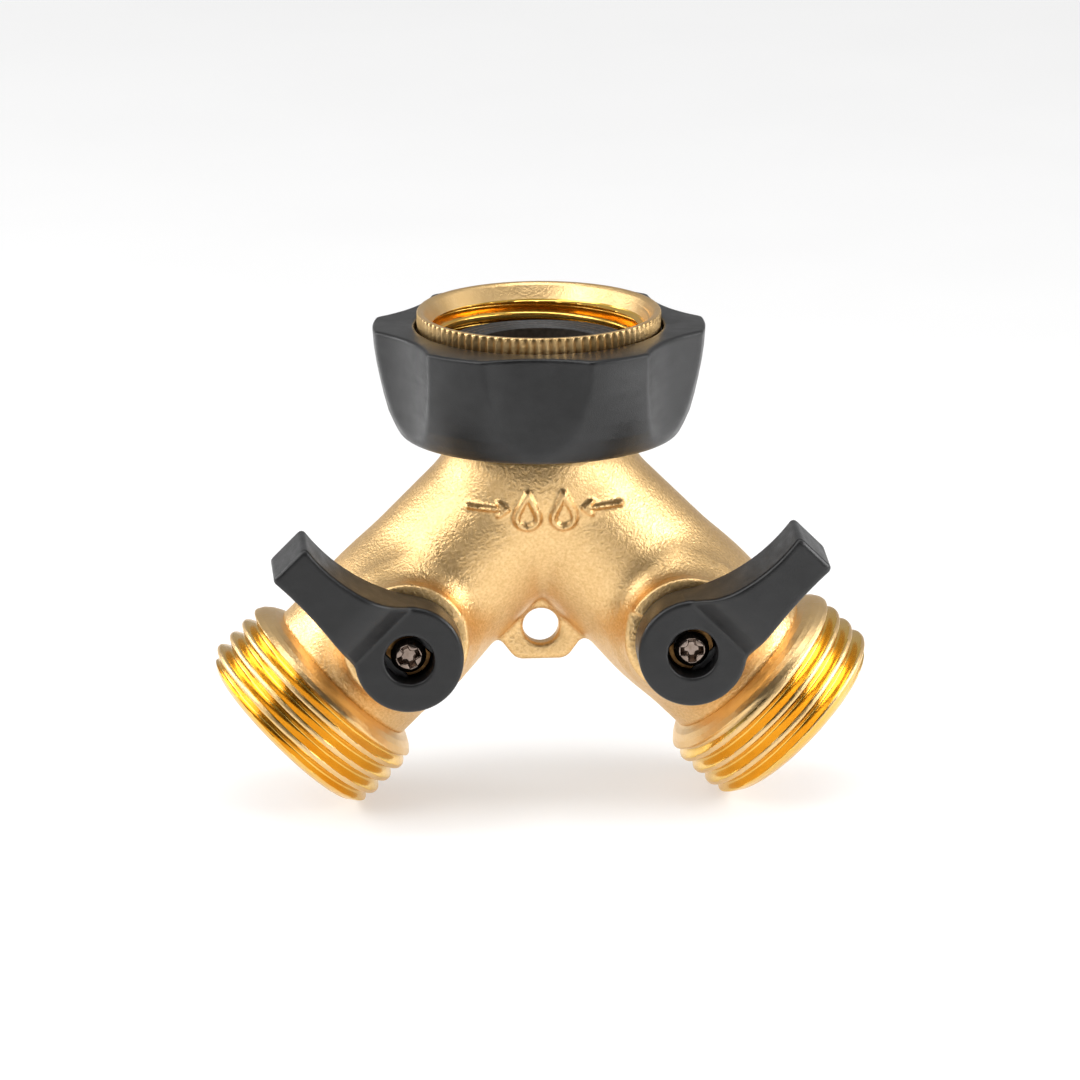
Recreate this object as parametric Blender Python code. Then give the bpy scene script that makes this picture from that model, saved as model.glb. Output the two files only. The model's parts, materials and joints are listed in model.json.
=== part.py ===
"""Garden hose splitter: a forged brass Y with a swivelling inlet nut and a ball valve in each leg.

Frame: +Z up along the inlet axis, -Y towards the front (the lever side), origin at the centre of
the inlet mouth. The two legs leave the junction at 45 degrees below the horizontal, in the XZ plane.
Each valve is built in its own frame: origin at the ball's centre, local +Z towards the front.
"""

import math

import bmesh
import bpy
from mathutils import Matrix, Vector

MM = 0.001
GAP = 0.15 * MM  # between neighbouring pieces that touch on the real thing
OVERLAP = 0.6 * MM  # how far joined shapes and cutters run past each other

# Garden hose thread, 3/4-11.5 NH
PITCH = 25.4 / 11.5 * MM
MALE_RADIUS = 13.3 * MM
MALE_ROOT = 12.1 * MM
FEMALE_RADIUS = 13.6 * MM
FEMALE_CREST = 12.3 * MM
THREAD_ROOT_HALF = 0.235 * MM
FLANK_SLOPE = math.tan(math.radians(30))

# Swivel inlet, heights below the mouth
NUT_RADIUS = 15.15 * MM
NUT_BODY_RADIUS = 14.7 * MM
NUT_RIM = 2.6 * MM
NUT_HEIGHT = 13.6 * MM
NUT_THREAD_END = 7.6 * MM
NUT_UNDERCUT = 12.9 * MM
LIP_TOP = 11.4 * MM
LIP_RADIUS = 9.9 * MM
COLLAR_TOP = 2.0 * MM
COLLAR_BOTTOM = 15.0 * MM
COLLAR_BORE = NUT_BODY_RADIUS + 2 * GAP
COLLAR_LIP = 11.5 * MM
COLLAR_LANDS = ((0, 20.5), (4, 20.05), (8, 19.25), (10, 18.7), (11.6, 18.0), (12.7, 17.2), (13, 16.8))
FLUTES = 6
FLUTE_RADIUS = 17.7 * MM
FLUTE_TOP = 18.2 * MM  # collar radius at the middle of a flute, at the top
FLUTE_TILT = math.radians(1.9)  # inwards towards the bottom
FLUTE_TURN = math.radians(-4.2)  # the front flute's turn away from straight ahead
WASHER_TOP = 3.85 * MM
WASHER_THICK = 3.6 * MM
WASHER_RADIUS = 12.0 * MM
WASHER_HOLE = 8.3 * MM
NECK_TOP = NUT_THREAD_END
NECK_RADIUS = 9.6 * MM
NECK_BORE = 6.6 * MM
CLIP_TOP = 10.45 * MM
CLIP_THICK = 0.8 * MM
CLIP_INNER = 9.0 * MM
CLIP_OUTER = 11.3 * MM

# Y body
JUNCTION = Vector((0, 0, -21.1 * MM))
LEG_ANGLE = math.radians(135)  # from +Z to a leg's axis
LEG_RADIUS = 10.45 * MM
SHOULDER = 34.9 * MM  # distances along a leg from the junction
OUTLET_END = 45.3 * MM
OUTLET_BORE = 9.8 * MM
THREAD_START = {-1: 37.9 * MM, 1: 37.05 * MM}  # first groove, on the +X side of each leg's own frame
PASSAGE = 5.0 * MM
SEAT_STEP = 16.7 * MM
CHAMBER = 7.6 * MM
RETAINER_START = 32.6 * MM
RETAINER_BORE = 8.9 * MM
SOCKET_CORNER = 6.9 * MM  # centre to corner of the retainer's hexagon socket
TAB_THICK = 2.3 * MM
TAB_HOLE_RADIUS = 2.25 * MM
TAB_HOLE_DROP = 18.9 * MM  # below the junction

# Valve, distances forward of the ball's centre
VALVE_DISTANCE = 24.6 * MM
BALL_RADIUS = 7.0 * MM
BALL_PORT = 4.5 * MM
BOSS_RADIUS = 7.8 * MM
BOSS_FACE = 12.8 * MM
STOP_FACE = 14.2 * MM
STOP_INNER = 5.1 * MM
STOP_HALF_ANGLE = math.radians(63)
STEM_RADIUS = 2.9 * MM
STEM_HOLE = 3.2 * MM
STEM_FLAT = 1.9 * MM
STEM_END = 17.5 * MM
FLANGE_RADIUS = 3.8 * MM
FLANGE_FACES = (7.3 * MM, 8.5 * MM)
COUNTERBORE = (4.1 * MM, 9.35 * MM)
RING_SECTION = 0.46 * MM
RING_RADIUS = 2.62 * MM
GROOVE_BOTTOM = 2.05 * MM
GROOVES = (10.35 * MM, 11.95 * MM)
SCREW_RADIUS = 1.2 * MM
SCREW_HEAD = 2.2 * MM
SCREW_HEAD_HEIGHT = 1.7 * MM

# Lever, along the arm (v), across it towards the inlet (w) and forward
HUB_RADIUS = 6.7 * MM
HUB_BACK = 14.5 * MM
HUB_FRONT = 20.7 * MM
RECESS_RADIUS = 3.05 * MM
LUG_FACE = BOSS_FACE + 2 * GAP
SLEEVE_RADIUS = 4.7 * MM
LUG_HALF_ANGLE = math.radians(70)
RAMP = ((4.4 * MM, HUB_FRONT), (7.9 * MM, 24.3 * MM))
UPPER_EDGE = ((4.4, 5.05), (12.0, 2.05), (20.0, 1.95))  # v, w in millimetres
LOWER_EDGE = ((20.0, -3.9), (12.0, -4.05), (4.0, -5.4))

FINE_ROUND = 48
ROUND = 36
SEAT_ROUND = 28
SMALL_ROUND = 20


def clear_scene():
    for obj in list(bpy.data.objects):
        bpy.data.objects.remove(obj)


def material(name, colour, metallic, roughness):
    made = bpy.data.materials.new(name)
    made.use_nodes = True
    shader = made.node_tree.nodes["Principled BSDF"]
    shader.inputs["Base Color"].default_value = (*colour, 1)
    shader.inputs["Metallic"].default_value = metallic
    shader.inputs["Roughness"].default_value = roughness
    return made


def finished(name, bm, look=None):
    """A new object from a bmesh, with its faces turned outwards and round faces shaded smooth."""
    bmesh.ops.remove_doubles(bm, verts=bm.verts, dist=1e-7)
    bmesh.ops.recalc_face_normals(bm, faces=bm.faces)
    mesh = bpy.data.meshes.new(name)
    bm.to_mesh(mesh)
    bm.free()
    mesh.shade_smooth()
    mesh.set_sharp_from_angle(angle=math.radians(35))
    if look:
        mesh.materials.append(look)
    obj = bpy.data.objects.new(name, mesh)
    bpy.context.scene.collection.objects.link(obj)
    return obj


def turned(name, profile, segments, look=None, capped=False, phase=0.0):
    """A (radius, height) outline turned about local Z: closed on itself, or capped at both ends."""
    bm = bmesh.new()
    angles = [2 * math.pi * (i + phase) / segments for i in range(segments)]
    rings = [[bm.verts.new((r * math.cos(a), r * math.sin(a), h)) for a in angles] for r, h in profile]
    following = rings[1:] if capped else rings[1:] + rings[:1]
    for lower, upper in zip(rings, following):
        for i in range(segments):
            j = (i + 1) % segments
            bm.faces.new((lower[i], lower[j], upper[j], upper[i]))
    if capped:
        bm.faces.new(rings[0])
        bm.faces.new(rings[-1])
    return finished(name, bm, look)


def cylinder(name, radius, start, end, segments, look=None, phase=0.0):
    return turned(name, [(radius, start), (radius, end)], segments, look, True, phase)


def tube(inner, outer, start, end):
    """Outline of a plain ring for turned()."""
    return [(inner, start), (outer, start), (outer, end), (inner, end)]


def rectangle(half_x, half_y, middle=(0, 0)):
    """Outline of a rectangle for prism()."""
    corners = ((-1, -1), (1, -1), (1, 1), (-1, 1))
    return [(middle[0] + x * half_x, middle[1] + y * half_y) for x, y in corners]


def prism(name, outline, start, end, look=None):
    """A flat outline in local X and Y, extruded from one height to another."""
    bm = bmesh.new()
    face = bm.faces.new([bm.verts.new((x, y, start)) for x, y in outline])
    top = bmesh.ops.extrude_face_region(bm, geom=[face])["geom"]
    rise = Vector((0, 0, end - start))
    bmesh.ops.translate(bm, verts=[v for v in top if isinstance(v, bmesh.types.BMVert)], vec=rise)
    return finished(name, bm, look)


def swept_thread(name, root, mouth, start, turns):
    """A right-hand helical cutter: root and mouth are the groove's two radii."""
    half_mouth = THREAD_ROOT_HALF + abs(mouth - root) * FLANK_SLOPE
    section = (
        (root, -THREAD_ROOT_HALF),
        (root, THREAD_ROOT_HALF),
        (mouth, half_mouth),
        (mouth, -half_mouth),
    )
    bm = bmesh.new()
    rows = []
    for i in range(round(turns * ROUND) + 1):
        step = (i + 0.4) / ROUND  # keeps the cutter's corners off the corners of what it cuts
        angle = 2 * math.pi * step
        rise = start + PITCH * step
        cos, sin = math.cos(angle), math.sin(angle)
        rows.append([bm.verts.new((r * cos, r * sin, rise + h)) for r, h in section])
    for near, far in zip(rows, rows[1:]):
        for i in range(4):
            j = (i + 1) % 4
            bm.faces.new((near[i], near[j], far[j], far[i]))
    bm.faces.new(rows[0])
    bm.faces.new(rows[-1])
    return finished(name, bm)


def arc_through(first, middle, last, steps):
    """Points in millimetres on the circle through three points, from the first to the last."""
    (ax, ay), (bx, by), (cx, cy) = first, middle, last
    d = 2 * (ax * (by - cy) + bx * (cy - ay) + cx * (ay - by))
    ux = ((ax**2 + ay**2) * (by - cy) + (bx**2 + by**2) * (cy - ay) + (cx**2 + cy**2) * (ay - by)) / d
    uy = ((ax**2 + ay**2) * (cx - bx) + (bx**2 + by**2) * (ax - cx) + (cx**2 + cy**2) * (bx - ax)) / d
    radius = math.hypot(ax - ux, ay - uy)
    start = math.atan2(ay - uy, ax - ux)
    turn = math.remainder(math.atan2(cy - uy, cx - ux) - start, 2 * math.pi)
    angles = (start + turn * i / steps for i in range(steps + 1))
    return [(ux + radius * math.cos(a), uy + radius * math.sin(a)) for a in angles]


def sector(inner, outer, middle, half_angle, steps):
    """Outline of a ring sector in local X and Y, about the angle middle."""
    sweep = [middle - half_angle + 2 * half_angle * i / steps for i in range(steps + 1)]
    outside = [(outer * math.cos(a), outer * math.sin(a)) for a in sweep]
    inside = [(inner * math.cos(a), inner * math.sin(a)) for a in reversed(sweep)]
    return outside + inside


def combine(obj, other, operation):
    """Adds a Boolean modifier and hides the other object."""
    modifier = obj.modifiers.new(other.name, "BOOLEAN")
    modifier.operation = operation
    modifier.object = other
    other.hide_render = True
    other.display_type = "WIRE"


def cut(obj, *cutters):
    for cutter in cutters:
        combine(obj, cutter, "DIFFERENCE")


def join(obj, *others):
    for other in others:
        combine(obj, other, "UNION")


def place(obj, parent, turn=(0, 0, 0), at=(0, 0, 0)):
    obj.rotation_euler = turn
    obj.location = at
    obj.parent = parent
    return obj


def empty(name, at, turn=(0, 0, 0)):
    made = bpy.data.objects.new(name, None)
    made.location = at
    made.rotation_euler = turn
    bpy.context.scene.collection.objects.link(made)
    return made


def leg_axis(side):
    """Unit vector along a leg, away from the junction. side is -1 for left and 1 for right."""
    return Vector((side * math.sin(LEG_ANGLE), 0, math.cos(LEG_ANGLE)))


# ---- Swivel inlet ----


def make_swivel_nut(look, axis):
    """The brass nut: knurled rim, female hose thread, undercut, and the lip that the clip holds."""
    mouth = FEMALE_RADIUS + 0.2 * MM
    lead = mouth - FEMALE_CREST
    profile = [
        (FEMALE_CREST, -lead),
        (FEMALE_CREST, -NUT_THREAD_END),
        (NUT_UNDERCUT, -NUT_THREAD_END - 0.5 * MM),
        (NUT_UNDERCUT, -LIP_TOP),
        (LIP_RADIUS, -LIP_TOP),
        (LIP_RADIUS, -NUT_HEIGHT),
        (NUT_BODY_RADIUS, -NUT_HEIGHT),
        (NUT_BODY_RADIUS, -NUT_RIM),
        (NUT_RADIUS, -NUT_RIM),
        (NUT_RADIUS, -0.25 * MM),
        (NUT_RADIUS - 0.25 * MM, 0),
        (mouth, 0),
    ]
    nut = place(turned("swivel_nut", profile, FINE_ROUND, look), axis)
    turns = (NUT_THREAD_END + PITCH) / PITCH
    start = -NUT_THREAD_END + 0.4 * MM
    thread = swept_thread("nut_thread_cutter", FEMALE_RADIUS, FEMALE_CREST - 0.2 * MM, start, turns)
    cut(nut, place(thread, axis))


def make_grip_collar(look, axis):
    """The black moulded grip: a tapered barrel with six scalloped flutes, over the nut."""
    outside = [(radius * MM, -COLLAR_TOP - drop * MM) for drop, radius in COLLAR_LANDS]
    rim_bore = NUT_RADIUS + 2 * GAP
    inside = [
        (COLLAR_LIP, -COLLAR_BOTTOM),
        (COLLAR_LIP, -NUT_HEIGHT - GAP),
        (COLLAR_BORE, -NUT_HEIGHT - GAP),
        (COLLAR_BORE, -NUT_RIM - 2 * GAP),
        (rim_bore, -NUT_RIM - 2 * GAP),
        (rim_bore, -COLLAR_TOP),
    ]
    collar = place(turned("grip_collar", outside + inside, FINE_ROUND, look), axis)
    length = COLLAR_BOTTOM - COLLAR_TOP + 6 * MM
    for i in range(FLUTES):
        angle = 2 * math.pi * i / FLUTES + FLUTE_TURN
        cutter = cylinder(f"flute_cutter_{i}", FLUTE_RADIUS, -length, 3 * MM, 2 * FINE_ROUND)
        outward = Vector((math.sin(angle), -math.cos(angle), 0))
        foot = outward * (FLUTE_TOP + FLUTE_RADIUS / math.cos(FLUTE_TILT)) - Vector((0, 0, COLLAR_TOP))
        cutter.matrix_world = (
            Matrix.Translation(foot) @ Matrix.Rotation(angle, 4, "Z") @ Matrix.Rotation(FLUTE_TILT, 4, "X")
        )
        cut(collar, cutter)


def make_inlet_washer(look, axis):
    """The rubber hose washer, with two raised sealing rings on each face."""
    top, bottom = -WASHER_TOP, -WASHER_TOP - WASHER_THICK
    ridge = 0.3 * MM
    crests = [WASHER_HOLE + 1.1 * MM, WASHER_HOLE + 2.5 * MM]
    upper = [(WASHER_HOLE, top - ridge)]
    for r in crests:
        upper += [(r - 0.45 * MM, top - ridge), (r, top), (r + 0.45 * MM, top - ridge)]
    upper.append((WASHER_RADIUS, top - ridge))
    lower = [(r, top + bottom - h) for r, h in reversed(upper)]
    place(turned("inlet_washer", upper + lower, ROUND, look), axis)


def make_retaining_ring(look):
    """The spring steel clip in the neck's groove, open at the back."""
    outline = tube(CLIP_INNER, CLIP_OUTER, -CLIP_TOP - CLIP_THICK, -CLIP_TOP)
    ring = turned("retaining_ring", outline, ROUND, look)
    slot = rectangle(1.2 * MM, 4.5 * MM, (0, 9.5 * MM))
    cut(ring, prism("clip_gap_cutter", slot, -CLIP_TOP - 2 * MM, -CLIP_TOP + 1 * MM))


# ---- Y body ----


def outlet_blank(side, segments):
    """One leg turned from the junction to the outlet end, with the outlet thread cut into it."""
    profile = [
        (LEG_RADIUS, 0),
        (LEG_RADIUS, SHOULDER - 0.2 * MM),
        (LEG_RADIUS + 0.95 * MM, SHOULDER + 0.2 * MM),
        (MALE_RADIUS - 0.3 * MM, SHOULDER + 2.0 * MM),
        (MALE_RADIUS, SHOULDER + 2.4 * MM),
        (MALE_RADIUS, OUTLET_END - 1.5 * MM),
        (MALE_ROOT - 0.25 * MM, OUTLET_END),
    ]
    name = "left" if side < 0 else "right"
    leg = turned(f"{name}_leg_blank", profile, segments, capped=True)
    start = THREAD_START[side]
    turns = (OUTLET_END - start) / PITCH + 1
    thread = swept_thread(f"{name}_thread_cutter", MALE_ROOT, MALE_RADIUS + 0.2 * MM, start, turns)
    for obj in (leg, thread):
        place(obj, None, (0, side * LEG_ANGLE, 0), JUNCTION)
    cut(leg, thread)
    return leg


def leg_passage(side):
    """Cutter for a leg's water way: passage, ball chamber, retainer seat and outlet bore."""
    profile = [
        (PASSAGE, 0),
        (PASSAGE, SEAT_STEP),
        (CHAMBER, SEAT_STEP),
        (CHAMBER, RETAINER_START - GAP),
        (RETAINER_BORE, RETAINER_START - GAP),
        (RETAINER_BORE, RETAINER_START + 4.3 * MM),
        (OUTLET_BORE, RETAINER_START + 4.3 * MM),
        (OUTLET_BORE, OUTLET_END - 0.6 * MM),
        (OUTLET_BORE + OVERLAP * 2, OUTLET_END + OVERLAP),
    ]
    cutter = turned(f"passage_cutter_{side}", profile, ROUND, capped=True, phase=0.3 + 0.2 * side)
    return place(cutter, None, (0, side * LEG_ANGLE, 0), JUNCTION)


def arrow_outline(side):
    """A short arrow that points to the middle, in X and Z about its own centre."""
    half = 2.65 * MM
    shaft, head, reach = 0.28 * MM, 0.85 * MM, 1.2 * MM
    points = [
        (half, shaft),
        (-half + reach, shaft),
        (-half + reach, head),
        (-half, 0),
        (-half + reach, -head),
        (-half + reach, -shaft),
        (half, -shaft),
    ]
    return [(side * x, y) for x, y in points]


def drop_outline(steps=14):
    """A water drop: a round bottom that rises to a point."""
    radius, tip = 1.6 * MM, 3.6 * MM
    spread = math.acos(radius / tip)
    sweep = [math.pi / 2 + spread + (2 * math.pi - 2 * spread) * i / steps for i in range(steps + 1)]
    return [(0, tip)] + [(radius * math.cos(a), radius * math.sin(a)) for a in sweep]


def raised_marks():
    """Raised water drops between two arrows: turn the levers inwards to open."""
    sink, rise = -1.2 * MM, 0.4 * MM
    marks = []
    for side in (-1, 1):
        on_neck = (math.pi / 2, 0, side * math.radians(12))
        centre = JUNCTION + Vector((side * 2.3, -10.9, -2.3)) * MM
        drop = prism(f"drop_{side}", drop_outline(), sink, rise)
        marks.append(place(drop, None, on_neck, centre))
        on_leg = (math.pi / 2, 0, side * math.radians(17))
        arrow = prism(f"arrow_{side}", arrow_outline(side), sink, rise)
        marks.append(place(arrow, None, on_leg, JUNCTION + Vector((side * 7.15, -9.6, -1.3)) * MM))
    return marks


def make_body(look, valves):
    """The forged body: neck, two legs with threaded outlets, valve bosses with stops, and the tab."""
    top = -NECK_TOP - JUNCTION.z
    profile = [
        (9.0 * MM, -6.5 * MM),
        (10.6 * MM, -3 * MM),
        (11.2 * MM, 0),
        (10.6 * MM, 4.3 * MM),
        (NECK_RADIUS, 5.2 * MM),
        (NECK_RADIUS, top - 0.4 * MM),
        (NECK_RADIUS - 0.4 * MM, top),
    ]
    body = place(turned("valve_body", profile, ROUND, look, capped=True), None, at=JUNCTION)
    join(body, outlet_blank(-1, ROUND), outlet_blank(1, ROUND))

    tab = [(-6.4, -12), (-4.6, -20.6), (-3.0, -22.9), (3.0, -22.9), (4.6, -20.6), (6.4, -12)]
    tab_plate = prism("tab_plate", [(x * MM, z * MM) for x, z in tab], -TAB_THICK / 2, TAB_THICK / 2)
    join(body, place(tab_plate, None, (math.pi / 2, 0, 0), JUNCTION))
    for side, valve in valves.items():
        flare = [(9.1, 3.4), (9.0, 8.9), (8.4, 10.1), (7.95, 11.4)]
        boss_profile = [(r * MM, h * MM) for r, h in flare] + [(BOSS_RADIUS, BOSS_FACE)]
        boss = turned(f"boss_{side}", boss_profile, ROUND, capped=True)
        stop_shape = sector(STOP_INNER, BOSS_RADIUS - 0.1 * MM, math.pi / 2, STOP_HALF_ANGLE, 12)
        stop = prism(f"stop_{side}", stop_shape, BOSS_FACE - OVERLAP, STOP_FACE)
        join(body, place(boss, valve), place(stop, valve))

    bore = cylinder("neck_bore_cutter", NECK_BORE, -2 * MM, top + OVERLAP, ROUND, phase=0.2)
    place(bore, None, at=JUNCTION)
    low, high = -CLIP_TOP - CLIP_THICK - GAP, -CLIP_TOP + GAP
    groove = turned("clip_groove_cutter", tube(CLIP_INNER - GAP, NECK_RADIUS + OVERLAP, low, high), ROUND)
    hole = cylinder("tab_hole_cutter", TAB_HOLE_RADIUS, -3 * MM, 3 * MM, SMALL_ROUND)
    place(hole, None, (math.pi / 2, 0, 0), JUNCTION - Vector((0, 0, TAB_HOLE_DROP)))
    cut(body, bore, groove, hole, leg_passage(-1), leg_passage(1))
    join(body, *raised_marks())
    for side, valve in valves.items():
        radius, depth = COUNTERBORE
        profile = [(radius, 0), (radius, depth), (STEM_HOLE, depth), (STEM_HOLE, 16 * MM)]
        cut(body, place(turned(f"stem_hole_cutter_{side}", profile, SMALL_ROUND, capped=True), valve))


# ---- Valves ----


def seat_profile(direction):
    """Outline of a valve seat about the leg axis, dished to the ball. direction is -1 on the inlet side."""
    dish = BALL_RADIUS + GAP
    inner, outer = PASSAGE - 0.4 * MM, CHAMBER - GAP
    face = 4.0 * MM
    back = VALVE_DISTANCE - SEAT_STEP - GAP
    edge = math.asin(math.sqrt(dish**2 - face**2) / dish)
    start = math.asin(inner / dish)
    arc = [start + (edge - start) * i / 4 for i in range(5)]
    curve = [(dish * math.sin(a), dish * math.cos(a)) for a in arc]
    outline = [*curve, (outer, face), (outer, back), (inner, back)]
    return [(r, VALVE_DISTANCE + direction * h) for r, h in outline]


def make_seats(side, name, seat_look, brass):
    """Two dished seats and the threaded retainer that presses them on to the ball."""
    turn = (0, side * LEG_ANGLE, 0)
    for label, direction in (("inner", -1), ("outer", 1)):
        seat = turned(f"{name}_{label}_seat", seat_profile(direction), SEAT_ROUND, seat_look)
        place(seat, None, turn, JUNCTION)
    start, end = RETAINER_START + GAP, RETAINER_START + 4 * MM
    outline = tube(PASSAGE - 0.2 * MM, RETAINER_BORE - GAP, start, end)
    retainer = place(turned(f"{name}_seat_retainer", outline, ROUND, brass), None, turn, JUNCTION)
    socket = cylinder(f"{name}_socket_cutter", SOCKET_CORNER, end - 2.2 * MM, end + OVERLAP, 6)
    cut(retainer, place(socket, None, turn, JUNCTION))


def make_ball(name, look, valve, rest_angle):
    """The bored ball, with the slot that the stem turns it by. The port lies across the leg: shut."""
    bm = bmesh.new()
    bmesh.ops.create_uvsphere(bm, u_segments=24, v_segments=14, radius=BALL_RADIUS)
    ball = place(finished(f"{name}_ball", bm, look), valve)
    port = cylinder(f"{name}_port_cutter", BALL_PORT, -9 * MM, 9 * MM, SMALL_ROUND)
    along_arm = Matrix.Rotation(rest_angle, 4, "Z") @ Matrix.Rotation(math.pi / 2, 4, "Y")
    port.parent = valve
    port.matrix_local = along_arm
    slot = prism(f"{name}_slot_cutter", rectangle(9 * MM, 1.3 * MM), 4.9 * MM, 8 * MM)
    cut(ball, port, place(slot, valve, (0, 0, rest_angle)))


def make_stem(name, look, valve, rest_angle):
    """The stem: tang, flange, two ring grooves and a double-D end with a tapped hole."""
    start, end = FLANGE_FACES
    half_groove = RING_SECTION + GAP
    profile = [(FLANGE_RADIUS, start), (FLANGE_RADIUS, end), (STEM_RADIUS, end)]
    for middle in GROOVES:
        low, high = middle - half_groove, middle + half_groove
        profile += [(STEM_RADIUS, low), (GROOVE_BOTTOM, low), (GROOVE_BOTTOM, high), (STEM_RADIUS, high)]
    hole = SCREW_RADIUS + GAP / 2
    profile += [(STEM_RADIUS, STEM_END - 0.2 * MM), (STEM_RADIUS - 0.2 * MM, STEM_END), (hole, STEM_END)]
    profile.append((hole, 9.2 * MM))
    stem = turned(f"{name}_stem", profile, SMALL_ROUND, look, capped=True)
    place(stem, valve, (0, 0, rest_angle))
    tang = prism(f"{name}_tang", rectangle(2.6 * MM, 1.1 * MM), 5.2 * MM, start + OVERLAP)
    join(stem, place(tang, valve, (0, 0, rest_angle)))
    for across in (-1, 1):
        middle = across * (STEM_FLAT + 2 * MM)
        flat_shape = rectangle(4 * MM, 2 * MM, (0, middle))
        flat = prism(f"{name}_flat_cutter_{across}", flat_shape, BOSS_FACE + 0.2 * MM, STEM_END + OVERLAP)
        cut(stem, place(flat, valve, (0, 0, rest_angle)))


def make_stem_seals(name, ring_look, washer_look, valve):
    """Two O-rings in the stem's grooves and the thrust washer under the boss."""
    for label, height in zip(("lower", "upper"), GROOVES):
        angles = [2 * math.pi * i / 6 for i in range(6)]
        section = [
            (RING_RADIUS + RING_SECTION * math.cos(a), height + RING_SECTION * math.sin(a)) for a in angles
        ]
        place(turned(f"{name}_{label}_o_ring", section, SMALL_ROUND, ring_look), valve)
    washer = tube(STEM_RADIUS + GAP, FLANGE_RADIUS, FLANGE_FACES[1] + GAP / 2, COUNTERBORE[1] - GAP / 2)
    place(turned(f"{name}_thrust_washer", washer, SMALL_ROUND, washer_look), valve)


def make_screw(name, look, valve, rest_angle):
    """The pan-head screw that holds the lever, with a cross recess."""
    under = STEM_END + GAP / 2
    top = under + SCREW_HEAD_HEIGHT
    profile = [
        (SCREW_RADIUS - 0.3 * MM, 10.4 * MM),
        (SCREW_RADIUS, 10.8 * MM),
        (SCREW_RADIUS, under),
        (SCREW_HEAD, under),
        (SCREW_HEAD, under + 0.7 * MM),
        (SCREW_HEAD - 0.25 * MM, under + 1.2 * MM),
        (SCREW_HEAD - 0.75 * MM, top),
    ]
    screw = place(turned(f"{name}_lever_screw", profile, SMALL_ROUND, look, capped=True), valve)
    for i in range(2):
        arm = rectangle(1.4 * MM, 0.3 * MM)
        cutter = prism(f"{name}_cross_cutter_{i}", arm, top - 1.1 * MM, top + OVERLAP)
        cut(screw, place(cutter, valve, (0, 0, rest_angle + math.pi / 2 * i + math.pi / 5)))


def make_lever(side, name, look, valve, rest_angle):
    """The moulded lever: hub with screw recess, ramp up to a deep curved arm, and the stop lug behind."""
    turn = (0, 0, rest_angle)
    upper = arc_through(*UPPER_EDGE, 8)
    lower = arc_through(*LOWER_EDGE, 6)
    outline = [(v * MM, side * w * MM) for v, w in [(0, 3), *upper, *lower, (0, -3)]]
    (ramp_start, hub_front), (ramp_end, arm_front) = RAMP
    arm = prism(f"{name}_arm_blank", outline, HUB_BACK + 0.1 * MM, arm_front)
    back, clear = ramp_start - 12 * MM, arm_front + 2 * MM
    side_view = [
        (back, hub_front),
        (ramp_start, hub_front),
        (ramp_end, arm_front),
        (ramp_end, clear),
        (back, clear),
    ]
    over = prism(f"{name}_arm_top_cutter", side_view, -12 * MM, 12 * MM)
    over.parent = valve
    over.matrix_local = Matrix.Rotation(rest_angle, 4, "Z") @ Matrix.Rotation(math.pi / 2, 4, "X")

    hub = [
        (SLEEVE_RADIUS, LUG_FACE),
        (SLEEVE_RADIUS, HUB_BACK),
        (HUB_RADIUS, HUB_BACK),
        (HUB_RADIUS, HUB_FRONT),
    ]
    lever = place(turned(f"{name}_lever", hub, ROUND, look, capped=True), valve, turn)
    lug_shape = sector(SLEEVE_RADIUS - OVERLAP, HUB_RADIUS - 0.1 * MM, math.pi, LUG_HALF_ANGLE, 12)
    lug = prism(f"{name}_lug", lug_shape, LUG_FACE + 0.05 * MM, HUB_BACK + OVERLAP)
    cut(arm, over)
    join(lever, place(arm, valve, turn), place(lug, valve, turn))

    recess = cylinder(f"{name}_recess_cutter", RECESS_RADIUS, STEM_END, HUB_FRONT + OVERLAP, SMALL_ROUND)
    bore = cylinder(f"{name}_drive_cutter", STEM_RADIUS + GAP, 12 * MM, STEM_END + OVERLAP, SMALL_ROUND)
    keep = prism(f"{name}_drive_flats", rectangle(9 * MM, STEM_FLAT + GAP), 11 * MM, STEM_END + 3 * MM)
    combine(bore, place(keep, valve, turn), "INTERSECT")
    pocket_shape = [(9.5, 0.8), (18.9, 0.1), (18.9, -2.2), (9.5, -2.5)]
    pocket_outline = [(v * MM, side * w * MM) for v, w in pocket_shape]
    pocket = prism(f"{name}_pocket_cutter", pocket_outline, 12 * MM, 22.8 * MM)
    cut(lever, place(recess, valve, turn), place(bore, valve, turn), place(pocket, valve, turn))


def main():
    clear_scene()
    brass = material("brass", (0.78, 0.56, 0.27), 1.0, 0.38)
    steel = material("steel", (0.62, 0.6, 0.57), 1.0, 0.3)
    black_plastic = material("black_plastic", (0.03, 0.03, 0.033), 0.0, 0.5)
    rubber = material("rubber", (0.05, 0.05, 0.05), 0.0, 0.8)
    white_seal = material("white_seal", (0.85, 0.85, 0.83), 0.0, 0.5)

    inlet = empty("inlet_axis", (0, 0, 0))
    make_swivel_nut(brass, inlet)
    make_grip_collar(black_plastic, inlet)
    make_inlet_washer(rubber, inlet)
    make_retaining_ring(steel)

    forward = (math.pi / 2, 0, 0)
    sides = {-1: "left", 1: "right"}
    valves = {
        side: empty(f"{name}_valve_axis", JUNCTION + leg_axis(side) * VALVE_DISTANCE, forward)
        for side, name in sides.items()
    }
    bpy.context.view_layer.update()
    make_body(brass, valves)
    for side, name in sides.items():
        rest_angle = math.radians(45 if side > 0 else 135)
        make_seats(side, name, white_seal, brass)
        make_ball(name, steel, valves[side], rest_angle)
        make_stem(name, brass, valves[side], rest_angle)
        make_stem_seals(name, rubber, white_seal, valves[side])
        make_screw(name, steel, valves[side], rest_angle)
        make_lever(side, name, black_plastic, valves[side], rest_angle)


main()
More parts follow.
